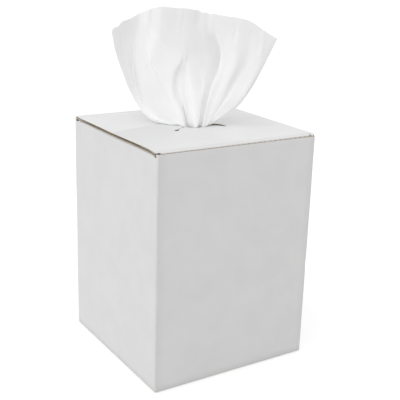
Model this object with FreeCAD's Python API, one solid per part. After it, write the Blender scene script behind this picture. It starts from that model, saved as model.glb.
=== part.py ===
# A tuck-top corrugated carton that dispenses a centre-pull roll of industrial wipes.
# Millimetres. The origin is on the floor under the middle of the carton, +X runs to the right along the
# front wall, the front wall faces -Y and +Z is up.
import FreeCAD, Part
import math
import os

Vector = FreeCAD.Vector
UP = Vector(0, 0, 1)

# Carton
carton_width = 190.0  # outside, along X
carton_depth = 190.0  # outside, along Y
carton_height = 254.0  # floor to the top of the closed lid
board_thickness = 3.0  # B-flute board with both liners
front_edge_drop = 1.0  # the front wall's raw top edge lies this far below the lid's top
glue_flap_width = 35.0
glue_flap_end_gap = 3.0  # from the flap's ends to the bottom and dust flaps

# Dust flaps: they fold in from the side walls, under the lid
dust_flap_length = 65.0  # from the carton's outside
dust_flap_taper = 7.0
dust_front_relief = 5.0  # slot between a dust flap and the front wall
dust_rear_relief = 5.0  # slot between a dust flap and the back wall
relief_depth = 2.0  # depth of those slots in the side wall

# Bottom flaps: one pair folds in from the side walls, the other is glued on below it
bottom_seam = 1.0  # between the tips of two flaps
bottom_side_gap = 1.0  # between a side wall's flap and the front or back wall
bottom_flat_run = 4.0  # flat strip of a side wall's flap beside its crease
bottom_rise_run = 12.0  # slope by which it climbs over the outer pair
bottom_outer_gap = 1.5  # from that slope to the outer pair's side edges

# Lid
lid_overhang = 0.8  # beyond the carton's side, each side
tuck_length = 25.0
tuck_side_gap = 4.0  # from the tuck flap's side to the side wall's inside
tuck_corner_radius = 10.0
tuck_lean = 5.0  # degrees inwards, so that the flap clears the front wall as the lid swings
tuck_clearance = 0.3  # between the tuck fold and the front wall's inside

# Dispensing hole: a round hole with four slits, which leave four petals. Angles are from +X.
hole_diameter = 36.5
slit_end_width = 0.5
slits = {
    "front_right": {"angle": -36.0, "reach": 38.5, "opening": 2.2},
    "rear_right": {"angle": 34.0, "reach": 38.0, "opening": 0.8},
    "rear_left": {"angle": 154.0, "reach": 43.0, "opening": 0.8},
    "front_left": {"angle": 212.0, "reach": 37.5, "opening": 0.8},
}
left_petal_lift = 9.0  # degrees that the left petal is pushed up

# Roll of wipes
roll_side_clearance = 6.0  # leaves room for the tuck flap
roll_top_clearance = 4.0
roll_core_diameter = 50.0
turn_ridges = 14  # rings that stand for the turns on each end of the roll
turn_ridge_depth = 0.7

# The wipe that is drawn up through the hole
wipe_thickness = 0.8  # loose nonwoven with its nap
neck_clearance = 1.6  # from each end of the gathered wipe's neck to the hole
neck_rise = 4.5  # height of the neck above the lid, past the lifted petal
pleat_count = 4
pleat_crowding = 0.3  # how much longer the middle pleats are than the outer ones
facets_per_pleat = 12
tightest_gather = 0.2  # span over length of the tightest pleats that don't touch; tighter ones are crushed
tail_length = 40.0  # from the lid's underside down to the perforation
tail_radius = 13.0
fan_turn = -31.5  # degrees about Z, from the front wall's direction to the fan's
fan_overshoot = 8.0  # height that the loft runs past the fan's top before it is trimmed
# (height above the lid, left edge, right edge) of the fan
fan_spread = [
    (9.0, -40.0, 32.0),
    (19.0, -58.0, 46.0),
    (47.0, -71.0, 66.0),
    (94.0, -86.0, 89.0),
    (124.0, -93.0, 101.0),
]
# (sideways, height above the lid) along the fan's top edge, from its left corner to its right one
fan_top = [(-90.0, 88.0), (-84.0, 104.0), (-65.0, 115.0), (-25.0, 124.0), (48.0, 114.0), (92.0, 91.0)]

# Web from the roll's innermost turn up to the perforation
web_foot_drop = 130.0  # from the roll's top down to where the web leaves the core's wall
web_flutes = 7
facets_per_flute = 8
web_flute_depth = 0.12  # depth of a flute over the radius at its crest
web_foot_clearance = 0.3  # between the web's foot and the innermost turn that it comes off
perforation_gap = 0.3

# Levels and half sizes that follow
half_width = carton_width / 2
half_depth = carton_depth / 2
inner_half_width = half_width - board_thickness
inner_half_depth = half_depth - board_thickness
lid_underside = carton_height - board_thickness
dust_underside = lid_underside - board_thickness
relief_floor = lid_underside - relief_depth
front_wall_top = carton_height - front_edge_drop
floor_top = 2 * board_thickness  # two layers of bottom flaps
roll_radius = min(inner_half_width, inner_half_depth) - roll_side_clearance
core_radius = roll_core_diameter / 2
roll_top = dust_underside - roll_top_clearance
web_width = roll_top - floor_top  # the wipes are as wide as the roll is tall
hole_radius = hole_diameter / 2
tail_bottom = lid_underside - tail_length
beyond = 10.0  # how far a cutting tool runs past what it cuts


def block(low, high):
    """A box between two corners."""
    size = Vector(*high) - Vector(*low)
    return Part.makeBox(size.x, size.y, size.z, Vector(*low))


def prism(points, way):
    """A polygon pushed along a vector."""
    return Part.Face(Part.makePolygon(points + points[:1])).extrude(way)


def line(start, end):
    return Part.LineSegment(start, end).toShape()


def arc(centre, start, end):
    """The shorter arc about a centre."""
    middle = (start + end) * 0.5 - centre
    middle.normalize()
    return Part.Arc(start, centre + middle * (start - centre).Length, end).toShape()


def spline(points):
    curve = Part.BSplineCurve()
    curve.interpolate(points)
    return curve.toShape()


def mirrored(shape):
    """The same piece on the carton's other side, across the plane x = 0."""
    return shape.mirror(Vector(0, 0, 0), Vector(1, 0, 0))


def turned_over(shape):
    """The same piece at the carton's other end, across the plane y = 0."""
    return shape.mirror(Vector(0, 0, 0), Vector(0, 1, 0))


# Carton


def walls():
    """Four walls with rounded creases, open at the top and the bottom."""
    body = block((-half_width, -half_depth, 0), (half_width, half_depth, front_wall_top))
    middle = front_wall_top / 2
    creases = [edge for edge in body.Edges if edge.BoundBox.ZMin < middle]
    body = body.makeFillet(board_thickness, creases)
    inside = block(
        (-inner_half_width, -inner_half_depth, -beyond),
        (inner_half_width, inner_half_depth, carton_height),
    )
    # Behind the front wall everything ends at the lid's underside
    above = block(
        (-half_width - beyond, -inner_half_depth, lid_underside),
        (half_width + beyond, half_depth + beyond, carton_height),
    )
    body = body.cut(inside).cut(above)
    # The side walls stop lower, with a slot at each end of the dust flap's crease
    slot = block(
        (inner_half_width, -inner_half_depth, relief_floor),
        (half_width + beyond, inner_half_depth, carton_height),
    )
    crease = block(
        (inner_half_width, -inner_half_depth + dust_front_relief, dust_underside),
        (half_width + beyond, inner_half_depth - dust_rear_relief, carton_height),
    )
    for tool in (slot, crease):
        body = body.cut(tool).cut(mirrored(tool))
    return body


def dust_flap():
    """The right side's dust flap with its rounded crease."""
    front = -inner_half_depth + dust_front_relief
    back = inner_half_depth - dust_rear_relief
    tip = half_width - dust_flap_length
    centre = Vector(inner_half_width, front, dust_underside)
    low = centre + Vector(board_thickness, 0, 0)
    top = centre + Vector(0, 0, board_thickness)
    fold = Part.Face(Part.Wire([line(centre, low), arc(centre, low, top), line(top, centre)]))
    fold = fold.extrude(Vector(0, back - front, 0))
    flap = prism(
        [
            Vector(inner_half_width, front, dust_underside),
            Vector(inner_half_width, back, dust_underside),
            Vector(tip, back - dust_flap_taper, dust_underside),
            Vector(tip, front + dust_flap_taper, dust_underside),
        ],
        UP * board_thickness,
    )
    return fold.fuse(flap)


def side_bottom_flap():
    """The right wall's bottom flap: flat beside its crease, then up and over the outer pair."""
    start = -inner_half_depth + bottom_side_gap
    foot = inner_half_width - bottom_flat_run
    crest = foot - bottom_rise_run
    tip = bottom_seam / 2
    profile = [
        Vector(inner_half_width, start, 0),
        Vector(foot, start, 0),
        Vector(crest, start, board_thickness),
        Vector(tip, start, board_thickness),
        Vector(tip, start, floor_top),
        Vector(crest, start, floor_top),
        Vector(foot, start, board_thickness),
        Vector(inner_half_width, start, board_thickness),
    ]
    return prism(profile, Vector(0, -2 * start, 0))


def front_bottom_flap():
    """The front wall's bottom flap, under the side walls' flaps."""
    half = inner_half_width - bottom_flat_run - bottom_rise_run - bottom_outer_gap
    return block((-half, -inner_half_depth, 0), (half, -bottom_seam / 2, board_thickness))


def glue_flap():
    """Carries the maker's joint: it folds in from the back wall and is glued inside the right wall."""
    low = (
        inner_half_width - board_thickness,
        inner_half_depth - glue_flap_width,
        floor_top + glue_flap_end_gap,
    )
    high = (inner_half_width, inner_half_depth, dust_underside - glue_flap_end_gap)
    return block(low, high)


def carton():
    flaps = [glue_flap()]
    for flap in (dust_flap(), side_bottom_flap()):
        flaps += [flap, mirrored(flap)]
    flaps += [front_bottom_flap(), turned_over(front_bottom_flap())]
    return walls().multiFuse(flaps).removeSplitter()


# Lid

lid_front = -inner_half_depth + tuck_clearance
lid_half_width = half_width + lid_overhang
tuck_half_width = inner_half_width - tuck_side_gap


def lid_panel():
    """The flat panel, rounded at the rear crease and at the tuck fold."""
    rear_centre = Vector(-lid_half_width, half_depth - board_thickness, lid_underside)
    front_centre = Vector(-lid_half_width, lid_front + board_thickness, lid_underside)
    rise = UP * board_thickness
    back = Vector(0, board_thickness, 0)
    edges = [
        arc(rear_centre, rear_centre + back, rear_centre + rise),
        line(rear_centre + rise, front_centre + rise),
        arc(front_centre, front_centre + rise, front_centre - back),
        line(front_centre - back, rear_centre + back),
    ]
    panel = Part.Face(Part.Wire(edges)).extrude(Vector(2 * lid_half_width, 0, 0))
    # Beside the tuck flap the fold is cut away, and at the back the corners clear the wall's creases
    notch = block(
        (tuck_half_width, lid_front - beyond, dust_underside),
        (lid_half_width + beyond, lid_front + board_thickness, carton_height + beyond),
    )
    corner = block(
        (half_width - board_thickness / 2, half_depth - board_thickness, dust_underside),
        (lid_half_width + beyond, half_depth + beyond, carton_height + beyond),
    )
    for tool in (notch, corner):
        panel = panel.cut(tool).cut(mirrored(tool))
    return panel


def tuck_flap():
    """Hangs behind the front wall and leans inwards, with rounded lower corners."""
    shift = Vector(0, tuck_length * math.tan(math.radians(tuck_lean)), -tuck_length)
    root = Vector(-tuck_half_width, lid_front, lid_underside)
    across = Vector(0, board_thickness, 0)
    section = [root, root + across, root + across + shift, root + shift]
    plate = prism(section, Vector(2 * tuck_half_width, 0, 0))
    outline = block(
        (-tuck_half_width, -half_depth, lid_underside - tuck_length),
        (tuck_half_width, 0, lid_underside),
    )
    bottom = lid_underside - tuck_length / 2
    corners = [e for e in outline.Edges if e.BoundBox.YLength > beyond and e.BoundBox.ZMax < bottom]
    return plate.common(outline.makeFillet(min(tuck_corner_radius, tuck_length * 0.9), corners))


def polar(radius, angle, height):
    turn = math.radians(angle)
    return Vector(radius * math.cos(turn), radius * math.sin(turn), height)


def slit_cutter(slit):
    """A tapering wedge from inside the hole out to the slit's end."""
    level = lid_underside - beyond
    across = polar(1, slit["angle"] + 90, 0)
    root = polar(hole_radius * 0.9, slit["angle"], level)
    end = polar(slit["reach"], slit["angle"], level)
    wide = across * (slit["opening"] / 2)
    narrow = across * (slit_end_width / 2)
    return prism([root - wide, end - narrow, end + narrow, root + wide], UP * 3 * beyond)


def left_petal():
    """The sector between the two left slits, from their ends in past the hole's middle."""
    level = lid_underside - beyond
    rear, front = slits["rear_left"], slits["front_left"]
    points = [Vector(0, 0, level), polar(rear["reach"], rear["angle"], level)]
    points += [polar(front["reach"], front["angle"], level)]
    return prism(points, UP * 3 * beyond)


def lid():
    panel = lid_panel()
    panel = panel.cut(Part.makeCylinder(hole_radius, 3 * beyond, Vector(0, 0, lid_underside - beyond)))
    for slit in slits.values():
        panel = panel.cut(slit_cutter(slit))
    # The left petal bends up about the line between its slits' ends, on the panel's underside
    petal = panel.common(left_petal())
    panel = panel.cut(left_petal())
    rear = polar(slits["rear_left"]["reach"], slits["rear_left"]["angle"], lid_underside)
    front = polar(slits["front_left"]["reach"], slits["front_left"]["angle"], lid_underside)
    petal.rotate(rear, front - rear, left_petal_lift)
    return panel.multiFuse([petal, tuck_flap()]).removeSplitter()


# Roll of wipes


def wipe_roll():
    """A thick ring whose top is ridged by the edges of its turns."""
    pitch = (roll_radius - core_radius) / turn_ridges
    points = [Vector(core_radius, 0, floor_top), Vector(roll_radius, 0, floor_top)]
    for n in range(turn_ridges):
        outer = roll_radius - n * pitch
        points.append(Vector(outer, 0, roll_top - turn_ridge_depth))
        points.append(Vector(outer - pitch / 2, 0, roll_top))
    points.append(Vector(core_radius, 0, roll_top - turn_ridge_depth))
    ring = Part.Face(Part.makePolygon(points + points[:1]))
    return ring.revolve(Vector(0, 0, 0), UP, 360)


def fluted_ring(crest, height):
    """A closed gathered outline about the roll's axis, whose flutes reach a given radius."""
    points = []
    steps = web_flutes * facets_per_flute
    for n in range(steps):
        turn = 360 * n / steps
        wave = (1 - math.cos(math.radians(web_flutes * turn))) / 2
        points.append(polar(crest * (1 - web_flute_depth * wave), turn, height))
    return Part.makePolygon(points + points[:1])


def feed_web():
    """The web that leaves the innermost turn and gathers towards the hole."""
    foot = roll_top - web_foot_drop
    top = tail_bottom - perforation_gap
    climb = top - foot
    draw_in = core_radius - tail_radius
    rings = [
        (core_radius - web_foot_clearance, foot),
        (core_radius - draw_in * 0.15, foot + climb * 0.35),
        (core_radius - draw_in * 0.7, foot + climb * 0.75),
        (tail_radius, top),
    ]
    outer = Part.makeLoft([fluted_ring(*ring) for ring in rings], True, True)
    inner = Part.makeLoft([fluted_ring(crest - wipe_thickness, z) for crest, z in rings], True, True)
    return outer.cut(inner)


# Lead wipe


def pleat_phase(share):
    """Turns of pleating up to a share of the web's width; the middle pleats are the longest."""
    return pleat_count * (share + pleat_crowding * math.sin(2 * math.pi * share) / (2 * math.pi))


def fold_path(swing, length, steps):
    """A meandering fold line of a given length, from the origin: points and headings."""
    x = y = 0.0
    path = []
    for n in range(steps + 1):
        heading = swing * math.sin(2 * math.pi * pleat_phase(n / steps))
        path.append((x, y, heading))
        x += math.cos(heading) * length / steps
        y += math.sin(heading) * length / steps
    return path


def fold_swing(span, length):
    """The largest heading that draws a length in to a given span, found by halving."""
    low, high = 0.0, 2.2
    for _ in range(30):
        swing = (low + high) / 2
        if fold_path(swing, length, 240)[-1][0] > span:
            low = swing
        else:
            high = swing
    return low


def pleated_section(height, left, right):
    """The gathered web's closed outline at one height."""
    fine = 12  # short steps between two points of the outline
    count = pleat_count * facets_per_pleat
    span = right - left
    length = min(web_width, span / tightest_gather)
    path = fold_path(fold_swing(span, length), length, count * fine)[::fine]
    middle = sum(y for _, y, _ in path) / len(path)
    near, far = [], []
    for x, y, heading in path:
        here = Vector(left + x, y - middle, height)
        side = Vector(-math.sin(heading), math.cos(heading), 0) * (wipe_thickness / 2)
        near.append(here - side)
        far.append(here + side)
    outline = near + far[::-1]
    return Part.makePolygon(outline + outline[:1])


def lead_wipe():
    neck = hole_radius - neck_clearance
    sections = [
        (tail_bottom, -tail_radius, tail_radius),
        (lid_underside - board_thickness, -tail_radius - 1, tail_radius + 1),
        (lid_underside, -neck, neck),
        (carton_height + neck_rise, -neck, neck),
    ]
    sections += [(carton_height + z, left, right) for z, left, right in fan_spread[:-1]]
    z, left, right = fan_spread[-1]
    sections.append((carton_height + z + fan_overshoot, left, right))
    web = Part.makeLoft([pleated_section(*section) for section in sections], True, True)
    # Trim the loft along the fan's curved top edge
    depth = 2 * hole_diameter
    top = carton_height + z + fan_overshoot + beyond
    edge = [Vector(x, -depth / 2, carton_height + height) for x, height in fan_top]
    left_end = Vector(edge[0].x - beyond * 3, -depth / 2, edge[0].z - beyond)
    right_end = Vector(edge[-1].x + beyond * 3, -depth / 2, edge[-1].z - beyond)
    corners = [left_end, Vector(left_end.x, -depth / 2, top), Vector(right_end.x, -depth / 2, top), right_end]
    sides = [line(a, b) for a, b in zip([edge[0]] + corners, corners + [edge[-1]])]
    trim = Part.Face(Part.Wire([spline(edge)] + sides)).extrude(Vector(0, depth, 0))
    web = web.cut(trim)
    web.rotate(Vector(0, 0, 0), UP, fan_turn)
    return web


os.makedirs("parts", exist_ok=True)
for name, make in {
    "carton": carton,
    "lid": lid,
    "wipe_roll": wipe_roll,
    "feed_web": feed_web,
    "lead_wipe": lead_wipe,
}.items():
    shape = make()
    print(f"{name}: {len(shape.Solids)} solid, valid {shape.isValid()}, {shape.Volume / 1000:.1f} cm3")
    shape.exportStep(f"parts/{name}.step")
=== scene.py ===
# %% [markdown]
# # A box of industrial wipes
# A tall carton of corrugated board stands on the table. A roll of nonwoven wipes sits inside it, and the
# first wipe is drawn up through a round hole in the hinged lid, where it fans out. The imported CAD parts
# give the main sizes and places. Here they are dressed: the carton and the lid become corrugated board,
# with a white liner, a brown liner and the fluted paper between them, and the wipe becomes folded cloth.

# %% Load the frame
import bpy
import bmesh
import math
import numpy as np
from mathutils import Matrix, Vector, noise


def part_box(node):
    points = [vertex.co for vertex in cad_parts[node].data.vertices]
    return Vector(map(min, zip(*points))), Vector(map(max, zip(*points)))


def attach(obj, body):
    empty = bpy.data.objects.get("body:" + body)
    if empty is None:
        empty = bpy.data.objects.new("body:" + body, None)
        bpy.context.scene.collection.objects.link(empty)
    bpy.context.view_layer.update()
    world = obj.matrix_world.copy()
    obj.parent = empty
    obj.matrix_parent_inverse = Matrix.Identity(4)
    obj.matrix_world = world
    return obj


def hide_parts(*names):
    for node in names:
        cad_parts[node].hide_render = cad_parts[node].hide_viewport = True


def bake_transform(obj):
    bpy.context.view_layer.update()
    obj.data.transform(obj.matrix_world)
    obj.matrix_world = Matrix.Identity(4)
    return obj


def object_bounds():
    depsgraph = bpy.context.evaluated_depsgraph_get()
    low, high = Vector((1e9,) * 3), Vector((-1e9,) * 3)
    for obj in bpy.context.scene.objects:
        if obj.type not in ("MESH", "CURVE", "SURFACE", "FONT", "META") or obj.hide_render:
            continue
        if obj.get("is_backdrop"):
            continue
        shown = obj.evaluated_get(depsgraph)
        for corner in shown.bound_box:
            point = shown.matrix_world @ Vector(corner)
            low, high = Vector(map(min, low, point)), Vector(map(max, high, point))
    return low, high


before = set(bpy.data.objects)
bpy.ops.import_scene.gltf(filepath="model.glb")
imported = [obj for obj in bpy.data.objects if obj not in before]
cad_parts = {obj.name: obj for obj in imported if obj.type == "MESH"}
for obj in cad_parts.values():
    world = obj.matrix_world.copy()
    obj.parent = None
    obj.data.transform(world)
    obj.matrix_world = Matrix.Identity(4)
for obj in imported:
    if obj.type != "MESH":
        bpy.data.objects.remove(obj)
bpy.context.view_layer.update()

# %% [markdown]
# ## Sizes that every piece shares
# The carton's outside is read from the frame, so the board lands where the CAD says. The board's own
# make-up isn't in the CAD, which holds it solid: B-flute board has about 47 flutes to the foot, a paper
# liner on each side and one fluted sheet between them. Everything is in metres.

# %% Carton and board sizes
carton_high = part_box("carton")[1]
lid_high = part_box("lid")[1]
mm = 0.001
board = 3 * mm
liner = 0.35 * mm  # thickness of one paper liner
medium = 0.25 * mm  # thickness of the fluted paper
flute_pitch = 6.5 * mm
flute_skew = math.tan(math.radians(1.6))  # a blank is never cut quite square to its flutes
joined = 0.01 * mm  # points nearer than this are one
same_place = 1e-6  # how exactly a point lies on a line or level
cut_tolerance = 1e-7  # a point this near a cutting plane lies on it
slack = 1e-5  # a point this far past a limit still counts as inside it
half = carton_high.x  # half of the carton's width, outside
inner_half = half - board
fold_radius = board  # a soft fold bends round the board's inner liner
crease_radius = 1.6 * mm  # the pressed creases between the walls are tighter
front_top = carton_high.z  # raw top edge of the front wall
lid_top = front_top + 1 * mm
lid_under = lid_top - board
dust_under = lid_under - board
bend_steps = 6  # straight steps that make a quarter bend
print(f"carton {2000 * half:.0f} mm wide, lid top at {1000 * lid_top:.0f} mm")

# %% [markdown]
# A dust flap lies under the lid at each side, four flaps close the bottom in two layers, and the tuck flap
# hangs from the lid's front. Most of these sizes repeat the CAD's. The tuck flap is wider: it ends 1.5 mm
# from each side wall here and 4 mm in the CAD.

# %% Flap sizes
dust_reach = 65 * mm  # from the carton's outside to the dust flap's tip
dust_taper = 7 * mm
dust_relief = 5 * mm  # slot between a dust flap and the walls beside it
dust_half = inner_half - dust_relief  # half of a dust flap's width at its crease
dust_tip = half - dust_reach
slot_top = lid_under - 2 * mm
bottom_run = 4 * mm  # flat strip beside the side flaps' crease
bottom_rise = 12 * mm  # slope over which they climb onto the outer flaps
bottom_gap = 1.5 * mm
bottom_seam = 1 * mm
bottom_side_gap = 1 * mm
outer_flap_half = inner_half - bottom_run - bottom_rise - bottom_gap
glue_flap_width = 35 * mm
tuck_length = 25 * mm
tuck_half = inner_half - 1.5 * mm  # wider than the CAD's by 2.5 mm at each side
tuck_lean = math.radians(5)
tuck_corner = 10 * mm
lid_half = lid_high.x
lid_front = -inner_half + 0.3 * mm
print(f"dust flaps reach {dust_reach / mm:.0f} mm in, the tuck flap hangs {tuck_length / mm:.0f} mm")

# %% [markdown]
# ## Helpers
# A piece is started as a bmesh, shaped with operators and then turned into an object. Its place stays in
# its mesh, and its object sits at the origin, so that it matches the CAD parts.


# %% Turn a bmesh into an object
def make_object(name, bm, *materials):
    mesh = bpy.data.meshes.new(name)
    bm.to_mesh(mesh)
    bm.free()
    for material in materials:
        mesh.materials.append(material)
    obj = bpy.data.objects.new(name, mesh)
    bpy.context.scene.collection.objects.link(obj)
    print(f"{name}: {len(mesh.vertices)} vertices, {len(mesh.polygons)} faces")
    return obj


def smooth(obj, angle=35):
    """Shades smooth, but keeps edges sharper than the angle."""
    obj.data.polygons.foreach_set("use_smooth", [True] * len(obj.data.polygons))
    obj.data.set_sharp_from_angle(angle=math.radians(angle))
    return obj


def thicken(obj, thickness, offset=-1.0, **options):
    """Gives a surface its thickness, inwards unless the offset is 0, and keeps its flat faces flat."""
    modifier = obj.modifiers.new("thickness", "SOLIDIFY")
    modifier.thickness = thickness
    modifier.offset = offset
    for key, value in options.items():
        setattr(modifier, key, value)
    weigh = obj.modifiers.new("even_shading", "WEIGHTED_NORMAL")
    weigh.keep_sharp = True
    return obj


# %% [markdown]
# ## Materials
# Paper and cloth are both made of fibres, so one node group gives the fibre mottle for all of them: a
# cloudy tone at a few millimetres and a fine grain at a fraction of one. A second group gives the faint
# washboard of the flutes that prints through the white liner. Each material places them with its own
# values, and what is the same all over, such as roughness, stays on the shader's own sockets.


# %% A small helper for node trees
def add(tree, kind, **values):
    """Adds a node and sets its sockets or its own values; an underscore joins two words of a name."""
    node = tree.nodes.new(kind)
    for key, value in values.items():
        socket = key.replace("_", " ").title()
        if socket in node.inputs:
            node.inputs[socket].default_value = value
        else:
            setattr(node, key, value)
    return node


def new_group(name, inputs, outputs):
    tree = bpy.data.node_groups.new(name, "ShaderNodeTree")
    for label, default in inputs.items():
        kind = "NodeSocketVector" if default is None else "NodeSocketFloat"
        socket = tree.interface.new_socket(label, in_out="INPUT", socket_type=kind)
        if default is not None:
            socket.default_value = default
    for label in outputs:
        tree.interface.new_socket(label, in_out="OUTPUT", socket_type="NodeSocketFloat")
    return tree, tree.nodes.new("NodeGroupInput"), tree.nodes.new("NodeGroupOutput")


# %% Node group: fibre mottle
def make_fibre_group():
    inputs = {"Vector": None, "Cloud Scale": 60.0, "Grain Scale": 1800.0}
    tree, source, result = new_group("fibre_mottle", inputs, ["Cloud", "Grain"])
    cloud = add(tree, "ShaderNodeTexNoise", detail=3.0, roughness=0.55)
    grain = add(tree, "ShaderNodeTexNoise", detail=4.0, roughness=0.7)
    for texture, scale in ((cloud, "Cloud Scale"), (grain, "Grain Scale")):
        tree.links.new(source.outputs["Vector"], texture.inputs["Vector"])
        tree.links.new(source.outputs[scale], texture.inputs["Scale"])
    tree.links.new(cloud.outputs["Fac"], result.inputs["Cloud"])
    tree.links.new(grain.outputs["Fac"], result.inputs["Grain"])
    return tree


fibre_group = make_fibre_group()
print("group", fibre_group.name, [s.name for s in fibre_group.interface.items_tree])


# %% Node group: washboard
def make_washboard_group():
    """Waves across the first axis of the board's own UV map, in metres."""
    tree, source, result = new_group("washboard", {"Vector": None, "Pitch": flute_pitch}, ["Height"])
    split = add(tree, "ShaderNodeSeparateXYZ")
    turns = add(tree, "ShaderNodeMath", operation="DIVIDE")
    angle = add(tree, "ShaderNodeMath", operation="MULTIPLY")
    angle.inputs[1].default_value = 2 * math.pi
    wave = add(tree, "ShaderNodeMath", operation="SINE")
    tree.links.new(source.outputs["Vector"], split.inputs["Vector"])
    tree.links.new(split.outputs["X"], turns.inputs[0])
    tree.links.new(source.outputs["Pitch"], turns.inputs[1])
    tree.links.new(turns.outputs[0], angle.inputs[0])
    tree.links.new(angle.outputs[0], wave.inputs[0])
    tree.links.new(wave.outputs[0], result.inputs["Height"])
    return tree


washboard_group = make_washboard_group()
print("group", washboard_group.name, "with a pitch of", round(flute_pitch / mm, 2), "mm")


# %% Start a material
def start_material(name, roughness, specular):
    material = bpy.data.materials.new(name)
    material.use_nodes = True
    tree = material.node_tree
    shader = tree.nodes["Principled BSDF"]
    shader.inputs["Roughness"].default_value = roughness
    shader.inputs["Specular IOR Level"].default_value = specular
    return material, tree, shader


def place_group(tree, group, coordinates, **values):
    node = tree.nodes.new("ShaderNodeGroup")
    node.node_tree = group
    tree.links.new(coordinates, node.inputs["Vector"])
    for key, value in values.items():
        node.inputs[key.replace("_", " ").title()].default_value = value
    return node


def tone(tree, mask, low, high, dark, light):
    """A colour between two shades as a mask goes from low to high."""
    ramp = tree.nodes.new("ShaderNodeValToRGB")
    ramp.color_ramp.elements[0].position = low
    ramp.color_ramp.elements[0].color = (*dark, 1)
    ramp.color_ramp.elements[1].position = high
    ramp.color_ramp.elements[1].color = (*light, 1)
    tree.links.new(mask, ramp.inputs["Fac"])
    return ramp.outputs["Color"]


def mix_colour(tree, mask, first, second):
    """Blends two colours by a mask; a plain colour may stand for either."""
    node = tree.nodes.new("ShaderNodeMix")
    node.data_type = "RGBA"
    tree.links.new(mask, node.inputs["Factor"])
    for colour, socket in ((first, node.inputs["A"]), (second, node.inputs["B"])):
        if isinstance(colour, tuple):
            socket.default_value = (*colour, 1)
        else:
            tree.links.new(colour, socket)
    return node.outputs["Result"]


def bump(tree, shader, height, distance, strength=1.0, under=None):
    node = add(tree, "ShaderNodeBump", distance=distance, strength=strength)
    tree.links.new(height, node.inputs["Height"])
    if under is not None:
        tree.links.new(under, node.inputs["Normal"])
    tree.links.new(node.outputs["Normal"], shader.inputs["Normal"])
    return node.outputs["Normal"]


# %% [markdown]
# ### White liner, brown liner and cut edges
# The outside of the board is a bleached, lightly coated sheet. Two attributes that the board carries change
# it: `rub` lets a little of the grey under the coating show along the folds, and the other is painted shade
# that greys a part of the lid. The inside liner is brown kraft, flecked with paler fibres. The fluted paper
# is the same recipe in a paler, greyer brown, and the liners' own cut edges are paler still, so each is one
# call with other values.


# %% The papers
white_clouds = ((0.768, 0.769, 0.771), (0.793, 0.793, 0.791))
rubbed_grey = (0.60, 0.59, 0.57)
# painted shade for the lid's front left part
painted_shade_grey = (0.700, 0.702, 0.708)
kraft_fleck = (0.62, 0.50, 0.37)


def make_white_liner():
    material, tree, shader = start_material("white_liner", 0.52, 0.35)
    place = tree.nodes.new("ShaderNodeTexCoord").outputs["Object"]
    fibre = place_group(tree, fibre_group, place, cloud_scale=38.0, grain_scale=1500.0)
    colour = tone(tree, fibre.outputs["Cloud"], 0.35, 0.65, *white_clouds)
    rub = add(tree, "ShaderNodeAttribute", attribute_name="rub")
    worn = add(tree, "ShaderNodeMath", operation="MULTIPLY")
    tree.links.new(rub.outputs["Fac"], worn.inputs[0])
    tree.links.new(fibre.outputs["Grain"], worn.inputs[1])
    colour = mix_colour(tree, worn.outputs[0], colour, rubbed_grey)
    # painted shade: an attribute greys the lid's front left part
    painted_shade = add(tree, "ShaderNodeAttribute", attribute_name="painted_shade")
    colour = mix_colour(tree, painted_shade.outputs["Fac"], colour, painted_shade_grey)
    tree.links.new(colour, shader.inputs["Base Color"])
    board_map = add(tree, "ShaderNodeUVMap", uv_map="board").outputs["UV"]
    washboard = place_group(tree, washboard_group, board_map)
    flutes = bump(tree, shader, washboard.outputs["Height"], 0.012 * mm)
    bump(tree, shader, fibre.outputs["Grain"], 0.03 * mm, 0.6, flutes)
    return material


def make_kraft(name, dark, light, grain):
    material, tree, shader = start_material(name, 0.85, 0.2)
    place = tree.nodes.new("ShaderNodeTexCoord").outputs["Object"]
    fibre = place_group(tree, fibre_group, place, cloud_scale=90.0, grain_scale=grain)
    colour = tone(tree, fibre.outputs["Cloud"], 0.3, 0.7, dark, light)
    flecks = tone(tree, fibre.outputs["Grain"], 0.56, 0.66, (0, 0, 0), (0.35, 0.35, 0.35))
    colour = mix_colour(tree, flecks, colour, kraft_fleck)
    tree.links.new(colour, shader.inputs["Base Color"])
    bump(tree, shader, fibre.outputs["Grain"], 0.06 * mm, 0.8)
    return material


white_liner = make_white_liner()
kraft = make_kraft("kraft", (0.42, 0.335, 0.245), (0.52, 0.425, 0.32), 1300.0)
flute_paper = make_kraft("flute_paper", (0.56, 0.51, 0.45), (0.68, 0.63, 0.56), 1600.0)
cut_edge = make_kraft("cut_edge", (0.64, 0.62, 0.58), (0.74, 0.72, 0.68), 1800.0)
print("materials", [m.name for m in (white_liner, kraft, flute_paper, cut_edge)])

# %% [markdown]
# ### Cloth
# The wipes are taken to be a soft white nonwoven. The cloth's own UV map is in metres of flat cloth, so the
# fibres keep their scale in the folds. Its second axis runs down a wipe and up the roll, and the noise is
# stretched along it, as fibres that lie mostly one way. The grooves between the turns of the roll are
# painted greyer by an attribute, as painted shade, because little light gets out of them.


# %% The cloth
fibre_squeeze = 0.28  # below 1, the noise is drawn out along the map's second axis
cloth_clouds = ((0.918, 0.920, 0.920), (0.938, 0.938, 0.935))
# painted shade in the grooves between the roll's turns
groove_painted_shade = (0.56, 0.56, 0.55)


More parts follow.
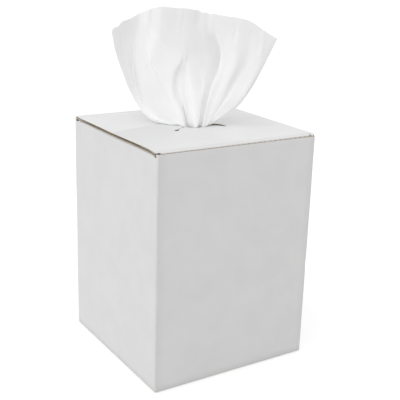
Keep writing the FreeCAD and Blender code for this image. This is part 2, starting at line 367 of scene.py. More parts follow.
def make_cloth():
    material, tree, shader = start_material("wipe_cloth", 0.92, 0.1)
    shader.inputs["Sheen Weight"].default_value = 0.08
    flat = add(tree, "ShaderNodeUVMap", uv_map="cloth").outputs["UV"]
    stretch = add(tree, "ShaderNodeMapping")
    stretch.inputs["Scale"].default_value = (1.0, fibre_squeeze, 1.0)
    tree.links.new(flat, stretch.inputs["Vector"])
    fibre = place_group(tree, fibre_group, stretch.outputs["Vector"], cloud_scale=220.0, grain_scale=2600.0)
    colour = tone(tree, fibre.outputs["Cloud"], 0.3, 0.7, *cloth_clouds)
    # painted shade: an attribute greys the grooves between the roll's turns
    between = add(tree, "ShaderNodeAttribute", attribute_name="between_turns")
    colour = mix_colour(tree, between.outputs["Fac"], colour, groove_painted_shade)
    tree.links.new(colour, shader.inputs["Base Color"])
    soft = bump(tree, shader, fibre.outputs["Cloud"], 0.25 * mm, 0.35)
    bump(tree, shader, fibre.outputs["Grain"], 0.10 * mm, 0.5, soft)
    return material


cloth = make_cloth()
print("material", cloth.name)

# %% [markdown]
# ## The carton, folded from one sheet
# A carton is one die-cut sheet. The same steps fold its two liners: a box is started as a cube, its fold
# edges are bevelled to the crease radius, the open top and bottom are removed, and the flaps are extruded
# from the rims. The outer liner runs round the outside of every crease and the inner liner round its
# inside, so one function makes both from an inset: how far the liner's face lies inside the carton's.


# %% Cut a mesh along planes
def slice_at(bm, axis, places):
    """Cuts the whole mesh with planes across an axis, so that edges lie where flaps start."""
    normal = Vector((0, 0, 0))
    normal[axis] = 1
    for place in places:
        geometry = bm.verts[:] + bm.edges[:] + bm.faces[:]
        point = normal * place
        bmesh.ops.bisect_plane(bm, geom=geometry, dist=cut_tolerance, plane_co=point, plane_no=normal)


def edge_middle(edge):
    return (edge.verts[0].co + edge.verts[1].co) / 2


def rim_edges(bm, level, inside):
    """Open edges at a level whose middle passes a test."""
    found = []
    for edge in bm.edges:
        middle = edge_middle(edge)
        flat = abs(edge.verts[0].co.z - edge.verts[1].co.z) < same_place
        if edge.is_boundary and flat and abs(middle.z - level) < same_place and inside(middle):
            found.append(edge)
    return found


def extrude_rim(bm, edges, move):
    """Extrudes open edges and puts each new point where move sends it. Returns the new open edges."""
    made = bmesh.ops.extrude_edge_only(bm, edges=edges)["geom"]
    points = [g for g in made if isinstance(g, bmesh.types.BMVert)]
    for point in points:
        point.co = move(point.co.copy())
    new = set(points)
    return [g for g in made if isinstance(g, bmesh.types.BMEdge) and set(g.verts) <= new]


# %% Box with creased edges
def start_walls(inset):
    """The four walls of one liner, open at the top and bottom, with the bottom crease at its foot."""
    side = half - inset
    radius = max(crease_radius - inset, 0.3 * mm)
    bm = bmesh.new()
    bmesh.ops.create_cube(bm, size=1)
    size = Matrix.Diagonal((2 * side, 2 * side, dust_under - inset, 1))
    lift = Matrix.Translation((0, 0, (dust_under + inset) / 2))
    bmesh.ops.transform(bm, matrix=lift @ size, verts=bm.verts)
    top = [f for f in bm.faces if f.normal.z > 0.5]
    bmesh.ops.delete(bm, geom=top, context="FACES_ONLY")
    folds = [e for e in bm.edges if edge_middle(e).z < dust_under - 1 * mm]
    round_off = {"offset_type": "OFFSET", "segments": bend_steps, "profile": 0.5, "affect": "EDGES"}
    bmesh.ops.bevel(bm, geom=folds, offset=radius, material=-1, **round_off)
    floor = [f for f in bm.faces if f.normal.z < -0.999 and f.calc_area() > 0.01]
    bmesh.ops.delete(bm, geom=floor, context="FACES_ONLY")
    return bm, side, radius


def slice_walls(bm, side):
    """Cuts at every flap's end, and a coarse grid between them, so that the walls can bow softly."""
    wall_grid = np.linspace(-0.9, 0.9, 15) * side
    slice_at(bm, 0, [-outer_flap_half, outer_flap_half, *wall_grid])
    slice_at(bm, 1, [-inner_half + dust_relief, dust_half, *wall_grid])
    slice_at(bm, 1, [-inner_half + bottom_side_gap, inner_half - bottom_side_gap])
    slice_at(bm, 2, np.linspace(0.03, 0.97, 22) * dust_under)


# %% Flaps extruded from the rims
def fold_bottom(bm, inset, side, radius):
    """The front and back flaps lie on the table; the side flaps climb over them."""
    foot = side - radius
    for way in (-1, 1):
        edges = rim_edges(bm, inset, lambda m: m.y * way > foot - slack and abs(m.x) < outer_flap_half)
        extrude_rim(bm, edges, lambda p: Vector((p.x, way * bottom_seam / 2, p.z)))
        reach = inner_half - bottom_side_gap
        edges = rim_edges(bm, inset, lambda m: m.x * way > foot - slack and abs(m.y) < reach)
        flat = inner_half - bottom_run
        edges = extrude_rim(bm, edges, lambda p: Vector((way * flat, p.y, p.z)))
        edges = extrude_rim(bm, edges, lambda p: Vector((way * (flat - bottom_rise), p.y, p.z + board)))
        extrude_rim(bm, edges, lambda p: Vector((way * bottom_seam / 2, p.y, p.z)))


def raise_rims(bm):
    """The walls end at different heights: front edge, back crease and the slots beside the dust flaps."""
    front = rim_edges(bm, dust_under, lambda m: m.y < -inner_half + slack)
    back = rim_edges(bm, dust_under, lambda m: m.y > inner_half - slack)
    slots = rim_edges(bm, dust_under, lambda m: dust_half < abs(m.y) < inner_half)
    for edges, level in ((front, front_top), (back, lid_under), (slots, slot_top)):
        extrude_rim(bm, edges, lambda p: Vector((p.x, p.y, level)))


def fold_dust_flaps(bm, inset, side):
    """Each dust flap turns over its crease and tapers to its tip."""
    bend = half - inner_half - inset
    taper_steps = 4
    for way in (-1, 1):
        edges = rim_edges(bm, dust_under, lambda m: m.x * way > side - slack and abs(m.y) < dust_half)
        for step in range(1, bend_steps + 1):
            turn = math.radians(90) * step / bend_steps
            place = inner_half + bend * math.cos(turn)
            level = dust_under + bend * math.sin(turn)
            edges = extrude_rim(bm, edges, lambda p: Vector((way * place, p.y, level)))
        for step in range(1, taper_steps + 1):
            share = step / taper_steps
            place = inner_half + (dust_tip - inner_half) * share
            narrow = 1 - share * dust_taper / dust_half
            was = 1 - (step - 1) / taper_steps * dust_taper / dust_half
            edges = extrude_rim(bm, edges, lambda p: Vector((way * place, p.y * narrow / was, p.z)))


# %% [markdown]
# Board is never perfectly flat. The walls bow in and out by a fraction of a millimetre, the front wall's
# left upright edge has been knocked a little under half-way up, and its right one has a small nick. The
# front wall's raw top edge was cut a little low, more so at the right. One function moves the points of
# both liners and the glue flap, so they stay together. The fluted strips at the cut edges stay straight.


# %% Wear that both liners follow
knock = Vector((-half, -half, 0.112))
nick = Vector((half, -half, 0.111))


def wear(point):
    """Moves one point of the carton by bowing, the low front edge, the knock and the nick."""
    away = Vector((0, 0, 0))
    if point.z > 5 * mm:
        waver = noise.noise(point * 14 + Vector((3, 7, 1)))
        fade = min(1, (point.z - 5 * mm) / 0.04) * min(1, max(0, (0.25 - point.z) / 0.04))
        if abs(point.x) > abs(point.y):
            away.x += math.copysign(0.5 * mm * waver * fade, point.x)
        else:
            away.y += 0.5 * mm * waver * fade
    above = max(0.0, (point.z - dust_under) / (front_top - dust_under))
    if above and point.y < 0.5 * mm - inner_half:
        away.z -= (0.8 + 0.5 * point.x / half) * mm * above
    for place, size, depth in ((knock, 9 * mm, 1.3 * mm), (nick, 4 * mm, 0.9 * mm)):
        near = (point - place).length / size
        inward = Vector((-place.x, -place.y, 0)).normalized()
        away += inward * depth * math.exp(-near * near)
    return point + away


def mark_rub(bm, folds, reach=2.0 * mm):
    """Stores how near each vertex is to a fold, for the rubbed coating."""
    layer = bm.verts.layers.float.new("rub")
    for vertex in bm.verts:
        near = min(fold(vertex.co) for fold in folds)
        vertex[layer] = max(0.0, 1 - near / reach)


def map_board(bm, across):
    """A UV map in metres: the first axis runs across the flutes, the second along them."""
    layer = bm.loops.layers.uv.new("board")
    for face in bm.faces:
        for loop in face.loops:
            loop[layer].uv = across(face, loop.vert.co)


# %% Fold both liners
def carton_flutes(face, co):
    """The side walls' flutes stand side by side along Y, the others' along X."""
    middle = face.calc_center_median()
    if abs(middle.x) > abs(middle.y) or abs(face.normal.z) > 0.5 and middle.z > 0.2:
        return co.y, co.z + co.x
    return co.x, co.z + co.y


def fold_carton(name, inset, material):
    bm, side, radius = start_walls(inset)
    slice_walls(bm, side)
    fold_bottom(bm, inset, side, radius)
    raise_rims(bm)
    fold_dust_flaps(bm, inset, side)
    bmesh.ops.remove_doubles(bm, verts=bm.verts, dist=joined)
    folds = [
        lambda co: max(side - radius * 0.3 - abs(co.x), side - radius * 0.3 - abs(co.y), 0),
        lambda co: max(co.z - 1.5 * mm, 0) + max(side - radius - max(abs(co.x), abs(co.y)), 0),
    ]
    mark_rub(bm, folds)
    map_board(bm, carton_flutes)
    for vertex in bm.verts:
        vertex.co = wear(vertex.co)
    bmesh.ops.recalc_face_normals(bm, faces=bm.faces)
    return make_object(name, bm, material, kraft, cut_edge)


outer_liner = fold_carton("carton_outer_liner", 0.0, white_liner)
inner_liner = fold_carton("carton_inner_liner", board - liner, kraft)
for sheet_object in (outer_liner, inner_liner):
    smooth(sheet_object)
    thicken(sheet_object, liner, material_offset=1, material_offset_rim=2)

# %% [markdown]
# ## The lid
# The lid is the same sheet as the back wall: it starts at the crease on the back wall's top, runs flat to
# the front and folds down into the tuck flap. Its hole is round, and four slits leave four petals. Rings of
# faces round the hole suit that best: a circle is extruded outwards ring by ring, the last ring is the
# lid's rectangle, and each slit is a row of edges along a ray that is split and drawn apart.

# %% Hole and slit sizes
hole_radius = 18.25 * mm
slit_ring = 38 * mm
slits = [
    {"turn": -35, "reach": slit_ring, "inner": 3.6 * mm, "outer": 3.6 * mm},
    {"turn": 34, "reach": slit_ring, "inner": 0.8 * mm, "outer": 0.5 * mm},
    {"turn": 154, "reach": 43 * mm, "inner": 0.8 * mm, "outer": 0.5 * mm},
    {"turn": 212, "reach": slit_ring, "inner": 0.1 * mm, "outer": 7.5 * mm},
]
rings = [hole_radius, 20 * mm, 23 * mm, 27 * mm, 32 * mm, 36 * mm, slit_ring, 43 * mm, 50 * mm]
panel_front = lid_front + fold_radius  # where the flat panel meets the front fold
panel_back = half - fold_radius
panel_steps = 9  # rings from the last round one to the rectangle
ray_step = math.radians(3)


def lid_edge_radius(turn):
    """Distance from the hole's middle to the panel's rectangle, along a ray."""
    x, y = math.cos(turn), math.sin(turn)
    reach = []
    if abs(x) > 1e-9:
        reach.append(lid_half / abs(x))
    if abs(y) > 1e-9:
        reach.append((panel_back if y > 0 else -panel_front) / abs(y))
    return min(reach)


def lid_rays():
    """Directions of the rays: the slits, the panel's corners and the tuck flap's ends, and others between."""
    wanted = [math.radians(s["turn"]) % (2 * math.pi) for s in slits]
    for x in (-lid_half, lid_half):
        wanted += [math.atan2(y, x) % (2 * math.pi) for y in (panel_front, panel_back)]
    wanted += [math.atan2(panel_front, x) % (2 * math.pi) for x in (-tuck_half, tuck_half)]
    wanted.sort()
    rays = []
    for here, after in zip(wanted, wanted[1:] + [wanted[0] + 2 * math.pi]):
        count = max(1, round((after - here) / ray_step))
        rays += [here + (after - here) * n / count for n in range(count)]
    return rays


# %% Grow the panel from the hole
def grow_panel(level):
    """Rings of faces from the hole's edge to the panel's rectangle, at a level."""
    rays = lid_rays()
    bm = bmesh.new()
    bmesh.ops.create_circle(bm, segments=len(rays), radius=hole_radius)
    rim = sorted(bm.verts, key=lambda v: math.atan2(v.co.y, v.co.x) % (2 * math.pi))
    for vertex, turn in zip(rim, rays):
        vertex.co = Vector((math.cos(turn), math.sin(turn), 0)) * hole_radius + Vector((0, 0, level))
    edges = bm.edges[:]
    for step in range(1, len(rings) + panel_steps):
        def move(p):
            turn = math.atan2(p.y, p.x)
            if step < len(rings):
                radius = rings[step]
            else:
                share = (step - len(rings) + 1) / panel_steps
                radius = rings[-1] + (lid_edge_radius(turn) - rings[-1]) * share
            return Vector((radius * math.cos(turn), radius * math.sin(turn), level))
        edges = extrude_rim(bm, edges, move)
    return bm, edges


def slit_gap(slit, share):
    """How wide a slit gapes at a share of its length, which starts at the hole."""
    return slit["inner"] + (slit["outer"] - slit["inner"]) * share**5


def cut_slits(bm):
    """Splits the edges along each slit's ray and draws the two sides apart."""
    for slit in slits:
        turn = math.radians(slit["turn"])
        ray = Vector((math.cos(turn), math.sin(turn), 0))
        across = Vector((-ray.y, ray.x, 0))

        def on_ray(vertex):
            flat = Vector((vertex.co.x, vertex.co.y, 0))
            return flat.dot(ray) > 0 and abs(flat.dot(across)) < same_place

        edges = [e for e in bm.edges if all(on_ray(v) for v in e.verts) and e.calc_length() > same_place]
        edges = [e for e in edges if edge_middle(e).to_2d().length < slit["reach"]]
        bmesh.ops.split_edges(bm, edges=edges)
        for vertex in [v for v in bm.verts if on_ray(v) and v.co.to_2d().length < slit["reach"] - slack]:
            sides = [f.calc_center_median().dot(across) for f in vertex.link_faces]
            share = (vertex.co.to_2d().length - hole_radius) / (slit["reach"] - hole_radius)
            vertex.co += across * math.copysign(slit_gap(slit, share) / 2, sum(sides))


# %% Fold the tuck flap and the rear crease
def fold_front(bm, edges, inset):
    """Rolls the front edge over and lets it hang as the tuck flap, with rounded lower corners."""
    ahead = [e for e in edges if abs(edge_middle(e).y - panel_front) < same_place]
    ears = [e for e in ahead if abs(edge_middle(e).x) > tuck_half]
    extrude_rim(bm, ears, lambda p: p + Vector((0, 0.5 * mm - fold_radius, -0.4 * mm)))
    front = [e for e in ahead if abs(edge_middle(e).x) < tuck_half]
    bend = fold_radius - inset
    for step in range(1, bend_steps + 1):
        turn = math.radians(90) * step / bend_steps
        place = panel_front - bend * math.sin(turn)
        level = lid_under + bend * math.cos(turn)
        front = extrude_rim(bm, front, lambda p: Vector((p.x, place, level)))
    width = tuck_half
    drops = [4 * mm, 9 * mm, 15 * mm]
    for corner_turn in (15, 35, 55, 75, 90):
        drops.append(tuck_length - tuck_corner * (1 - math.sin(math.radians(corner_turn))))
    for drop in drops:
        past = max(0.0, drop - (tuck_length - tuck_corner))
        narrow = tuck_half - tuck_corner + math.sqrt(max(0.0, tuck_corner**2 - past**2))
        place = panel_front - bend + drop * math.tan(tuck_lean)
        front = extrude_rim(bm, front, lambda p: Vector((p.x * narrow / width, place, lid_under - drop)))
        width = narrow


def fold_rear(bm, edges, inset):
    """Rolls the rear edge down to the hinge line on the back wall."""
    rear = [e for e in edges if abs(edge_middle(e).y - panel_back) < same_place]
    bend = fold_radius - inset
    narrow = (half - board / 2) / lid_half
    for step in range(1, bend_steps + 1):
        turn = math.radians(90) * step / bend_steps
        place = panel_back + bend * math.sin(turn)
        level = lid_under + bend * math.cos(turn)
        scale = narrow if step == 1 else 1
        rear = extrude_rim(bm, rear, lambda p: Vector((p.x * scale, place, level)))


# %% [markdown]
# ### Bends in the lid
# Pulling wipes through the hole has left its marks. The left petal is bent up about the line between its
# slits' ends, and the other petals stand about a millimetre proud of the panel. In front of a line from the
# lid's left edge to that petal, the panel rises slowly towards the front. One function moves the points of
# every layer of the panel, so that the lid bends as one board.


# %% Bends in the lid
def on_ring(turn, radius):
    return Vector((math.cos(math.radians(turn)), math.sin(math.radians(turn)), 0)) * radius


petal_rear = on_ring(slits[2]["turn"], slits[2]["reach"])
petal_front = on_ring(slits[3]["turn"], slits[3]["reach"])
petal_line = (petal_front - petal_rear).normalized()
petal_inward = Vector((-petal_line.y, petal_line.x, 0))
petal_lift = math.tan(math.radians(4))
ridge_rise = 0.012  # how steeply the panel climbs in front of the line
ridge_end = Vector((-lid_half, 3 * mm, 0))
ridge_line = (petal_rear - ridge_end).normalized()
ridge_front = Vector((ridge_line.y, -ridge_line.x, 0))
other_petals = {(-35, 34): 1.3 * mm, (34, 154): 0.8 * mm, (212, 325): 0.6 * mm}


def bent(point):
    """The lid's shape: how one point of the flat lid moves."""
    flat = Vector((point.x, point.y, 0))
    rise = 0.25 * mm * noise.noise(flat * 22 + Vector((1, 2, 3)))
    turn = math.degrees(math.atan2(flat.y, flat.x)) % 360
    if slits[2]["turn"] < turn < slits[3]["turn"]:
        rise += petal_lift * max(0.0, (flat - petal_rear).dot(petal_inward))
    for (start, end), height in other_petals.items():
        if start < turn < end or start < turn - 360 < end:
            reach = max(0.0, 1 - (flat.length - hole_radius) / (slit_ring - hole_radius))
            rise += height * min(1.0, 2.4 * reach)
    front = max(0.0, (flat - ridge_end).dot(ridge_front))
    beside = max(0.0, min(1.0, (-8 * mm - flat.x) / (60 * mm)))
    edge = max(0.0, min(1.0, (flat.y - panel_front) / (12 * mm)))
    rise += ridge_rise * front * beside * edge
    return point + Vector((0, 0, rise))


# %% [markdown]
# ### Painted shade on the lid
# The lid's front left part is painted a little darker than the rest, as painted shade. How dark each point
# is goes into an attribute, which the white liner's material reads.

# %% Mark the painted shade
def mark_painted_shade(bm):
    """Painted shade, darkest in front of the ridge on the lid's front left and less towards the front fold.
    """
    layer = bm.verts.layers.float.new("painted_shade")
    for vertex in bm.verts:
        flat = Vector((vertex.co.x, vertex.co.y, 0))
        front = (flat - ridge_end).dot(ridge_front)
        start = max(0.0, min(1.0, front / (2.5 * mm)))
        fade = max(0.0, 1 - max(0.0, front) / (95 * mm))
        beside = max(0.0, min(1.0, (18 * mm - flat.x) / (50 * mm)))
        vertex[layer] = start * fade * beside


# %% [markdown]
# ### Both liners of the lid
# The steps above make one liner from an inset, as for the carton. The slits are cut after the edges are
# rolled over, and the marks and the UV map are set on the flat lid, before it is bent.

# %% Build both liners of the lid
def lid_flutes(face, co):
    return co.x + co.y * flute_skew, co.y + co.z


def fold_lid(name, inset, material):
    bm, rim = grow_panel(lid_top - inset)
    fold_front(bm, rim, inset)
    fold_rear(bm, rim, inset)
    cut_slits(bm)
    folds = [lambda co: abs(co.y - panel_front) + 0.6 * mm, lambda co: abs(co.y - panel_back) + 0.6 * mm]
    mark_rub(bm, folds, 2.5 * mm)
    # painted shade on the lid's front left part
    mark_painted_shade(bm)
    map_board(bm, lid_flutes)
    for vertex in bm.verts:
        if vertex.co.z > lid_under - 1 * mm and panel_front < vertex.co.y < panel_back:
            vertex.co = bent(vertex.co)
    bmesh.ops.recalc_face_normals(bm, faces=bm.faces)
    up = sum(f.normal.z * f.calc_area() for f in bm.faces)
    if up < 0:
        bmesh.ops.reverse_faces(bm, faces=bm.faces)
    obj = smooth(make_object(name, bm, material, kraft, cut_edge), 25)
    return thicken(obj, liner, material_offset=1, material_offset_rim=2)


lid_outer = fold_lid("lid_outer_liner", 0.0, white_liner)
lid_inner = fold_lid("lid_inner_liner", board - liner, kraft)

# %% [markdown]
# ## The fluted paper at the cut edges
# Where board is cut, the fluted paper shows between the liners: as waves where the cut crosses the flutes,
# and as a long channel where it runs along them. So the cut edges that matter to the eye each get a strip, a
# few millimetres deep. A strip is a grid whose points are laid along the edge and lifted by the flutes'
# wave. Others, such as the slots beside the dust flaps and the seam of the upper bottom flaps, have none.


# %% A strip of fluted paper
flute_room = board - 2 * liner - medium
edge_setback = 0.35 * mm
wave_samples = 9  # columns of points for each flute


def flute_height(across):
    """Height of the fluted paper over the board's middle plane."""
    return flute_room / 2 * math.sin(2 * math.pi * across / flute_pitch)


def flute_strip(bm, start, end, inward, up, flutes, bend=None, depth=5 * mm):
    """Adds a strip behind the cut edge from start to end, which lie on the board's middle plane."""
    along = (end - start).normalized()
    length = (end - start).length
    across_way = flutes.cross(up).normalized()
    columns = max(2, int(length / (flute_pitch / wave_samples)))
    before = set(bm.verts)
    bmesh.ops.create_grid(bm, x_segments=columns, y_segments=3, size=0.5)
    for vertex in set(bm.verts) - before:
        place = start + along * (vertex.co.x + 0.5) * length
        place += inward * (edge_setback + (vertex.co.y + 0.5) * depth)
        across = place.dot(across_way) + place.dot(flutes) * flute_skew
        place += up * flute_height(across)
        vertex.co = bend(place) if bend else place


def edge_strips(name, strips, bend=None):
    bm = bmesh.new()
    for start, end, inward, up, flutes in strips:
        flute_strip(bm, Vector(start), Vector(end), Vector(inward), Vector(up), Vector(flutes), bend)
    obj = smooth(make_object(name, bm, flute_paper), 80)
    return thicken(obj, medium, offset=0.0)


# %% Flutes of the carton
X, Y, Z = Vector((1, 0, 0)), Vector((0, 1, 0)), Vector((0, 0, 1))
wall_middle = half - board / 2
dust_middle = lid_under - board / 2
carton_strips = [((-inner_half, -wall_middle, front_top), (inner_half, -wall_middle, front_top), -Z, -Y, Z)]
for way in (-1, 1):
    tip_half = dust_half - dust_taper
    low = (way * dust_tip, -tip_half, dust_middle)
    high = (way * dust_tip, tip_half, dust_middle)
    carton_strips.append((low, high, X * way, Z, X))
    for end in (-1, 1):
        root = (way * inner_half, end * dust_half, dust_middle)
        tip = (way * dust_tip, end * tip_half, dust_middle)
        carton_strips.append((root, tip, -Y * end, Z, X))
    flap_low = (-outer_flap_half, way * bottom_seam / 2, board / 2)
    flap_high = (outer_flap_half, way * bottom_seam / 2, board / 2)
    carton_strips.append((flap_low, flap_high, Y * way, Z, Y))
carton_flute_edges = edge_strips("carton_flute_edges", carton_strips)

# %% Flutes of the lid
lid_middle = lid_top - board / 2
lid_strips = []
for way in (-1, 1):
    low = (way * lid_half, panel_front, lid_middle)
    high = (way * lid_half, panel_back, lid_middle)
    lid_strips.append((low, high, -X * way, Z, Y))
lid_flute_edges = edge_strips("lid_flute_edges", lid_strips, bent)

tuck_drop = Vector((0, math.tan(tuck_lean), -1))
tuck_foot = Vector((0, lid_front + board / 2, lid_under)) + tuck_drop * (tuck_length - liner)
tuck_reach = X * (tuck_half - tuck_corner)
tuck_strip = (tuck_foot - tuck_reach, tuck_foot + tuck_reach, -tuck_drop.normalized(), -Y, Z)
tuck_flute_edge = edge_strips("tuck_flute_edge", [tuck_strip])


# %% Flutes round the hole
def hole_flutes():
    """A ring of fluted paper behind the hole's edge, and a strip behind each side of each slit."""
    bm = bmesh.new()
    bmesh.ops.create_circle(bm, segments=192, radius=hole_radius + edge_setback)
    ring_widening = 1.12  # the ring of paper is 12 percent wider outside than inside
    extrude_rim(bm, bm.edges[:], lambda p: p * ring_widening)
    spokes = [(on_ring(slit["turn"], 1.0), slit) for slit in slits]
    loose = []
    for vertex in bm.verts:
        vertex.co.z = lid_middle + flute_height(vertex.co.x + vertex.co.y * flute_skew)
    for face in bm.faces:
        middle = face.calc_center_median()
        for ray, slit in spokes:
            flat = Vector((middle.x, middle.y, 0))
            if flat.dot(ray) > 0 and abs(flat.cross(ray).z) < slit["inner"]:
                loose.append(face)
                break
    bmesh.ops.delete(bm, geom=loose, context="FACES")
    for vertex in bm.verts:
        vertex.co = bent(vertex.co)
    for ray, slit in spokes:
        for side in (-1, 1):
            across = Vector((-ray.y, ray.x, 0)) * side
            start = ray * hole_radius + across * slit_gap(slit, 0) / 2 + Z * lid_middle
            end = ray * (slit["reach"] - 6 * mm) + across * slit_gap(slit, 0.7) / 2 + Z * lid_middle
            flute_strip(bm, start, end, across, Z, Y, bent, depth=3 * mm)
    obj = smooth(make_object("hole_flute_edges", bm, flute_paper), 80)
    return thicken(obj, medium, offset=0.0)


hole_flute_edges = hole_flutes()

# %% [markdown]
# ## The glue flap
# One edge of the sheet is a narrow flap, glued inside the right wall to close the carton into a tube. Its
# white side is glued down, so only brown paper shows, with the flutes along its slanted top edge.


# %% Glue flap
glue_flap_low = 9 * mm
glue_flap_high = dust_under - 3 * mm
glue_flap_taper = 4 * mm


def fold_glue_flap():
    """Both liners of the glue flap, flat against the right wall."""
    bm = bmesh.new()
    for place in (inner_half - 0.05 * mm, inner_half - board + liner):
        before = set(bm.verts)
        bmesh.ops.create_grid(bm, x_segments=6, y_segments=14, size=0.5)
        for vertex in set(bm.verts) - before:
            along = inner_half - (0.5 - vertex.co.x) * glue_flap_width
            taper = glue_flap_taper * (0.5 - vertex.co.x)
            up = glue_flap_low + taper + (vertex.co.y + 0.5) * (glue_flap_high - glue_flap_low - 2 * taper)
            vertex.co = wear(Vector((place, along, up)))
    bmesh.ops.recalc_face_normals(bm, faces=bm.faces)
    for face in bm.faces:
        if face.normal.x > 0:
            face.normal_flip()
    map_board(bm, lambda face, co: (co.y, co.z))
    return thicken(smooth(make_object("glue_flap", bm, kraft, cut_edge)), liner, material_offset_rim=1)


glue_flap = fold_glue_flap()
flap_middle = inner_half - board / 2
flap_tip = (flap_middle, inner_half - glue_flap_width, glue_flap_high - 2 * mm)
flap_strip = ((flap_middle, inner_half, glue_flap_high), flap_tip, -Z, X, Z)
glue_flap_flutes = edge_strips("glue_flap_flutes", [flap_strip])

# %% [markdown]
# ## The crease behind the lid
# Inside the fold at the rear, the inner liner crumples into a thin bead between the wall and the lid. It
# belongs to both, so it rides with neither of them.


# %% Crease bead
def crease_bead():
    bm = bmesh.new()
    bmesh.ops.create_grid(bm, x_segments=60, y_segments=8, size=0.5)
    low = Vector((0, inner_half + 0.05 * mm, slot_top - 0.5 * mm))
    high = Vector((0, panel_back - 3 * mm, lid_under - 0.05 * mm))
    for vertex in bm.verts:
        share = vertex.co.y + 0.5
        place = low.lerp(high, share)
        along = vertex.co.x * 2 * (inner_half - 1 * mm)
        pinch = math.sin(math.pi * share) * (0.35 + 0.3 * noise.noise(Vector((along * 90, 0, 5)))) * mm
        vertex.co = place + Vector((along, -pinch, -pinch))
    bmesh.ops.recalc_face_normals(bm, faces=bm.faces)
    for face in bm.faces:
        if face.normal.y > 0:
            face.normal_flip()
    map_board(bm, lambda face, co: (co.x, co.z + co.y))
    return thicken(smooth(make_object("rear_crease", bm, kraft), 60), liner)


rear_crease = crease_bead()

# %% [markdown]
# ## The lead wipe
# A wipe is a limp sheet that is gathered where it is pulled through the hole and opens into a fan above.
# Its look comes from its fold lines: each starts in the gather, climbs and spreads, and is a crest, a
# hollow or an edge. So the fold lines come first, as 5 to 8 points each: how far sideways, how high over
# the lid and how far towards the viewer. The points are measured places, thinned out and rounded to whole
# millimetres. The cloth is then stretched smoothly from line to line, as a grid whose points are moved.
# Where one line passes behind its neighbour, the cloth doubles back and makes a real overlapping fold.

# %% The fan's own directions
fan_turn = math.radians(-31.5)
fan_tilt = math.radians(17.65)
side_way = Vector((math.cos(fan_turn), math.sin(fan_turn), 0))
toward_way = Vector(
    (math.sin(fan_turn) * math.cos(fan_tilt), -math.cos(fan_turn) * math.cos(fan_tilt), math.sin(fan_tilt))
)

